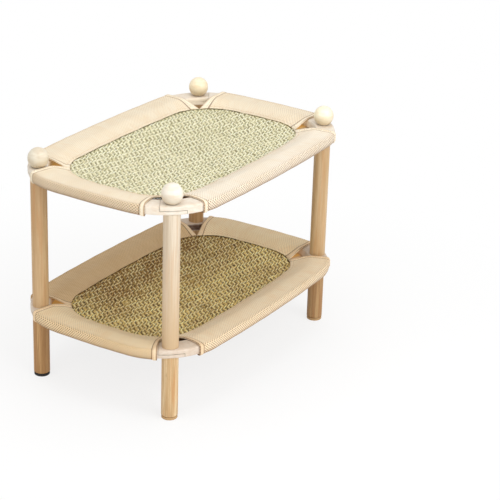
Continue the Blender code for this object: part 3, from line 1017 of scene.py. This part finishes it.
def path_places(points, pitch):
    """Shares along a path, one pitch apart by length."""
    length = path_lengths(points)
    count = int(length[-1] // pitch)
    marks = (np.arange(count) + 0.5) * pitch + (length[-1] - count * pitch) / 2
    return np.interp(marks, length, np.linspace(0, 1, len(points)))


def stitch_row(run, first, last, samples, pitch, half, lift, folds=0):
    """A row of stitches from a first share and step to a last. folds is 1 where it follows the folds."""
    first, last = np.array((first, last))

    def places(way):
        """Shares and steps at parts of the way."""
        return (first + (last - first) * way[:, None]).T

    even = np.linspace(0, 1, samples)
    path = sleeve_points(run, *places(even))
    middle = path_places(path, pitch)
    slope = np.linalg.norm(np.gradient(path, axis=0), axis=1) * (samples - 1)
    reach = half / np.interp(middle, even, slope)
    share, step = places(middle)
    lift = lift + folds * sleeve_pucker(run, run.matched(share)[0], step)
    starts, ends = (sleeve_lifted(run, *places(middle + sign * reach), lift) for sign in ENDS)
    up = (sleeve_lifted(run, share, step, MM) - sleeve_points(run, share, step)) / MM
    return spindles(starts, ends, up, STITCH_WIDTH)


def stitches(run, thread):
    """The stitches of one sleeve: a row in each hem's band, and one along its edge on the mat."""
    rows = []
    for end in ENDS:
        share = float(hem_share(run, end, HEM_STITCH_IN))
        first, last = (share, HEM_STITCH_STEP), (share, PROFILE_STEPS - HEM_STITCH_STEP)
        rows.append(stitch_row(run, first, last, **HEM_STITCH))
    first, last = ((end * SEAM_STITCH_SHARE, SEAM_STITCH_STEP) for end in ENDS)
    rows.append(stitch_row(run, first, last, **SEAM_STITCH, folds=1))
    piece = add_mesh(f"stitches_{run.name}", *joined(rows))
    mend_mesh(piece)
    return finish_piece(piece, thread)


# Mats
def cords(tier, along_x, rng):
    """Points, quads and tones of one set of cords. In the weave's holes the X cords dip under the Y ones."""
    pitches = [int((half + 2 * MAT_UNDER_CLOTH) / CORD_PITCH) for half in MAT_HALF]
    length, width = pitches if along_x else pitches[::-1]
    rows = np.arange(-width, width)
    halves = np.arange(-2 * length, 2 * length + 1)
    row, half, side = np.meshgrid(rows, halves, np.array(CORD_PROFILE), indexing="ij")
    along = half * CORD_PITCH / 2
    wobble = rng.normal(0, CORD_WOBBLE, len(rows))[:, None, None]
    sway = CORD_SWAY * np.sin(along / MM * 0.05 + rng.uniform(0, math.tau, len(rows))[:, None, None])
    offset = (row + 0.5) * CORD_PITCH + side * CORD_WIDTH / 2 + wobble + sway
    x, y = (along, offset) if along_x else (offset, along)
    dip = smooth(*DIP_RISE, weave_pits(x, y, lambda turns: np.cos(math.tau * turns)))
    level = (1 - 2 * dip) if along_x else (2 * dip - 1)
    crown = CORD_CROWN * (1 - side ** 2) * np.where(level > -0.5, 1, -0.6)
    z = mat_height(tier, x, y) + level * CORD_LIFT + crown
    inside = MAT_EDGE.holds(x, y, MAT_UNDER_CLOTH)
    size = inside[0].size
    quads = np.concatenate([grid_quads(*inside.shape[1:], start=k * size) for k in range(len(rows))])
    quads = quads[inside.ravel()[quads].all(axis=1)]
    used, kept_quads = np.unique(quads, return_inverse=True)
    tone = np.broadcast_to(rng.uniform(0, 1, len(rows))[:, None, None], inside.shape)
    points = np.stack([x, y, z], axis=-1).reshape(-1, 3)
    return points[used], kept_quads.reshape(-1, 4), tone.ravel()[used]


def painted_shade_share(points):
    """Share of painted shade: 0 at the mat's front and left, rising to 1 along its back edge."""
    return smooth(*PAINTED_SHADE_Y, points[..., 1]) * smooth(*PAINTED_SHADE_X, points[..., 0])


def strands(tier, painted_shade_depth, rng):
    """Points, quads, UVs and tones of the pale strands, and of those that cross the holes between them."""
    count = int(2 * MAT_EDGE.centre[0] / STRAND_STEP[0])
    numbers = np.arange(-count, count + 1)
    crossing, number, row = (axis.ravel() for axis in np.meshgrid((0, 1), numbers, numbers))
    odd = row % 2
    place = (number + crossing * 0.5 + np.where(odd, ROW_SWAY, -ROW_SWAY))[:, None] * STRAND_STEP
    place = place + row[:, None] * ROW_STEP
    place = place + rng.uniform(-1, 1, place.shape) * STRAND_JITTER
    turn = np.choose(odd ^ crossing, STRAND_TURNS) + rng.uniform(-1, 1, len(odd)) * STRAND_TURN_SPREAD
    half = np.choose(odd, STRAND_LENGTHS) / 2 * rng.uniform(*STRAND_LENGTH_SPREAD, len(odd))
    half = half * np.where(crossing, CROSSING_LENGTH, 1)
    reach = np.stack([np.cos(turn), np.sin(turn)], axis=-1) * half[:, None]
    keep = MAT_EDGE.holds(place[:, 0], place[:, 1], STRAND_MARGIN)
    keep &= rng.uniform(0, 1, len(odd)) > STRANDS_LEFT_OUT
    lift = (rng.uniform(*STRAND_LIFTS, len(odd)) - crossing * CROSSING_DROP) * MM
    ends = []
    for sign in ENDS:
        x, y = (place[keep] + sign * reach[keep]).T
        ends.append(np.stack([x, y, mat_height(tier, x, y) + lift[keep]], axis=-1))
    up = np.tile([0, 0, 1.0], (keep.sum(), 1))
    points, quads = spindles(*ends, up, STRAND_WIDTH, STRAND_FLATNESS)
    own = rng.uniform(0, 1, len(up))[:, None, None]
    lines = own + np.linspace(0, STRAND_GRAIN, SPINDLE_ROWS)[None, :, None]
    facets = own + STRAND_FACET * np.arange(SPINDLE_SIDES)[None, None, :]
    uv = np.stack(np.broadcast_arrays(lines, facets), axis=-1)
    # The strand's tone: its own, duller where it crosses a hole, and painted shade towards the lower mat's
    # back edge
    tone = own * 0.35 + (CROSSING_DULL * crossing[keep] + painted_shade_share(place[keep]) * painted_shade_depth * 0.2)[:, None, None]
    return points, quads, uv, np.broadcast_to(tone, uv.shape[:3])


def mat(tier, light, dark, ground_light, ground_dark, hole, painted_shade_depth, seed):
    """A mat of two sets of cords with pale strands over them, held flat under the sleeves' edges."""
    rng = np.random.default_rng(seed)
    along_fibre = fibre(f"ground_{tier}", ground_light, ground_dark, hole, (0.03, 1, 1))
    across_fibre = fibre(f"cross_cords_{tier}", ground_dark, ground_dark, hole, (1, 0.03, 1))
    for along_x, kind, material in ((True, "ground", along_fibre), (False, "cross_cords", across_fibre)):
        points, quads, tone = cords(tier, along_x, rng)
        # Painted shade towards the lower mat's back edge
        tone = tone + painted_shade_share(points) * painted_shade_depth * 1.5
        # The rim beyond the mat's edge gets painted shadow
        rim = ~MAT_EDGE.holds(points[:, 0], points[:, 1], RIM_MARGIN)
        if not along_x:
            quads = quads[:, ::-1]
        piece = add_mesh(f"mat_{kind}_{tier}", points, quads, marks={"tone": tone, "rim": rim})
        finish_piece(piece, material)
    points, quads, uv, tone = strands(tier, painted_shade_depth, rng)
    over = add_mesh(f"mat_strands_{tier}", points, quads, uv, {"tone": tone})
    finish_piece(over, strand_fibre(f"strand_{tier}", light, dark))
    mend_mesh(over)
    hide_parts(f"mat_{tier}")


# Surroundings
def floor():
    """A wide pale floor that fades to white away from the object."""
    radius = FLOOR_RADIUS * (np.arange(FLOOR_RINGS + 1) / FLOOR_RINGS)[:, None] ** 1.5
    angle = math.tau * np.arange(FLOOR_SPOKES)[None, :] / FLOOR_SPOKES
    x, y = radius * np.cos(angle), radius * np.sin(angle)
    points = np.stack([x, y, np.zeros_like(x)], axis=-1)
    piece = add_mesh("floor", points, grid_quads(*x.shape, wrap=True))
    mend_mesh(piece)
    finish = Finish("floor_white", FLOOR_TONE, 0.9)
    finish.fill(finish.shader.node, {"Base Color": paint(FLOOR_TONE), "Specular IOR Level": 0.1})
    distance = finish.node("ShaderNodeVectorMath", {"operation": "LENGTH"}, {0: finish.place()})["Value"]
    seen = finish.node("ShaderNodeLightPath")
    rays = (seen["Is Camera Ray"] + seen["Is Glossy Ray"] + seen["Is Transmission Ray"]).least(1.0)
    white = finish.node("ShaderNodeEmission", None, {"Color": (1, 1, 1, 1), "Strength": 1.0})
    fade = (distance.rise(*FLOOR_FADE) * (1 - FLOOR_WHITE) + FLOOR_WHITE) * rays
    finish.show("Material Output", fade, finish.shader["BSDF"], white["Emission"])
    piece.data.materials.append(finish.material)


def lamp(name, place, size, power):
    """A square soft light that faces the middle of the object."""
    data = bpy.data.lights.new(name, "AREA")
    data.size = size
    data.energy = power
    made = put(name, data)
    made.location = place
    made.rotation_euler = (LAMPS_FACE - Vector(place)).to_track_quat("-Z", "Y").to_euler()


def sky():
    """Soft light from all round, and a plain pale backdrop where the camera sees past the floor."""
    world = bpy.data.worlds.new("studio")
    bpy.context.scene.world = world
    world.use_nodes = True
    nodes = Nodes(world.node_tree)
    soft = nodes.fill(nodes.tree.nodes["Background"], SKY)
    backdrop = nodes.node("ShaderNodeBackground", None, BACKDROP)
    seen = nodes.node("ShaderNodeLightPath")
    rays = seen["Is Camera Ray"].most(seen["Is Glossy Ray"])
    nodes.show("World Output", rays, soft["Background"], backdrop["Background"])


def camera():
    """The photograph's viewpoint."""
    az, el, roll = CAMERA_AZIMUTH, CAMERA_ELEVATION, CAMERA_ROLL
    ahead = Vector((math.sin(az) * math.cos(el), math.cos(az) * math.cos(el), -math.sin(el)))
    right = Vector((math.cos(az), -math.sin(az), 0))
    up = right.cross(ahead)
    right, up = right * math.cos(roll) + up * math.sin(roll), up * math.cos(roll) - right * math.sin(roll)
    data = bpy.data.cameras.new("camera")
    data.sensor_width = SENSOR
    data.lens = FOCAL_PIXELS / PICTURE_PIXELS * SENSOR
    made = put("camera", data)
    turn = Matrix((right, up, -ahead)).transposed().to_4x4()
    made.matrix_world = Matrix.Translation(CAMERA_PLACE) @ turn
    bpy.context.scene.camera = made


# The whole bed
def dress_corner(corner, steel, brass, pad):
    """Gives a corner's parts their materials."""
    materials = {
        "foot_pad": pad,
        "leg": wood(f"leg_wood_{corner}", *LEG_TONES[corner], LEG_CONTRAST),
        "post": wood(f"post_wood_{corner}", *POST_TONES[corner], POST_CONTRAST, POST_FOOT_SHADE.get(corner)),
        "finial_ball": ball_wood(f"ball_wood_{corner}", *BALL_TONES[corner]),
        "leg_stud": steel,
        "post_stud": steel,
        "post_insert": brass,
        "finial_insert": brass,
    }
    for node, material in materials.items():
        dress(f"{node}_{corner}", material)


def tray(tier, cloths, thread):
    """Dresses a tier's rails and puts its sleeves over them."""
    rail = rail_wood(f"rail_wood_{tier}", tier, *RAIL_TONES[tier])
    lining = lining_cloth(f"sleeve_lining_{tier}", *LINING_TONES[tier])
    tape = woven_tape(f"hem_tape_{tier}", *TAPE_TONES[tier])
    for side in SIDES:
        run = Run(tier, side)
        dress(f"rail_{run.name}", rail)
        piece, flat = sleeve(run, cloths.get(run.name, cloths[tier]), lining)
        hems(run, tape)
        stitches(run, thread)


def build():
    """Sets the scene and puts every piece in it."""
    camera()
    floor()
    sky()
    for name, lamp_values in LAMPS.items():
        lamp(name, *lamp_values)
    bpy.context.scene.view_settings.view_transform = "Standard"
    steel = threaded("zinc", *ZINC, THREAD_PITCH)
    brass = plain("brass", *BRASS, 0.35, 1.0, 900)
    rubber = plain("black_rubber", (24, 23, 22), (38, 36, 34), 0.75, 0.0, 1200)
    felt = plain("pale_felt", (206, 172, 128), (178, 142, 98), 0.95, 0.0, 1800)
    for corner in CORNERS:
        dress_corner(corner, steel, brass, rubber if corner == "back_left" else felt)
    thread = woven_tape("thread", *THREAD_TONES)
    cloths = {name: mesh_cloth(f"sleeve_mesh_{name}", *tones) for name, tones in CLOTH_TONES.items()}
    for tier in TIERS:
        tray(tier, cloths, thread)
    for tier, mat_values in MATS.items():
        mat(tier, *mat_values)


build()
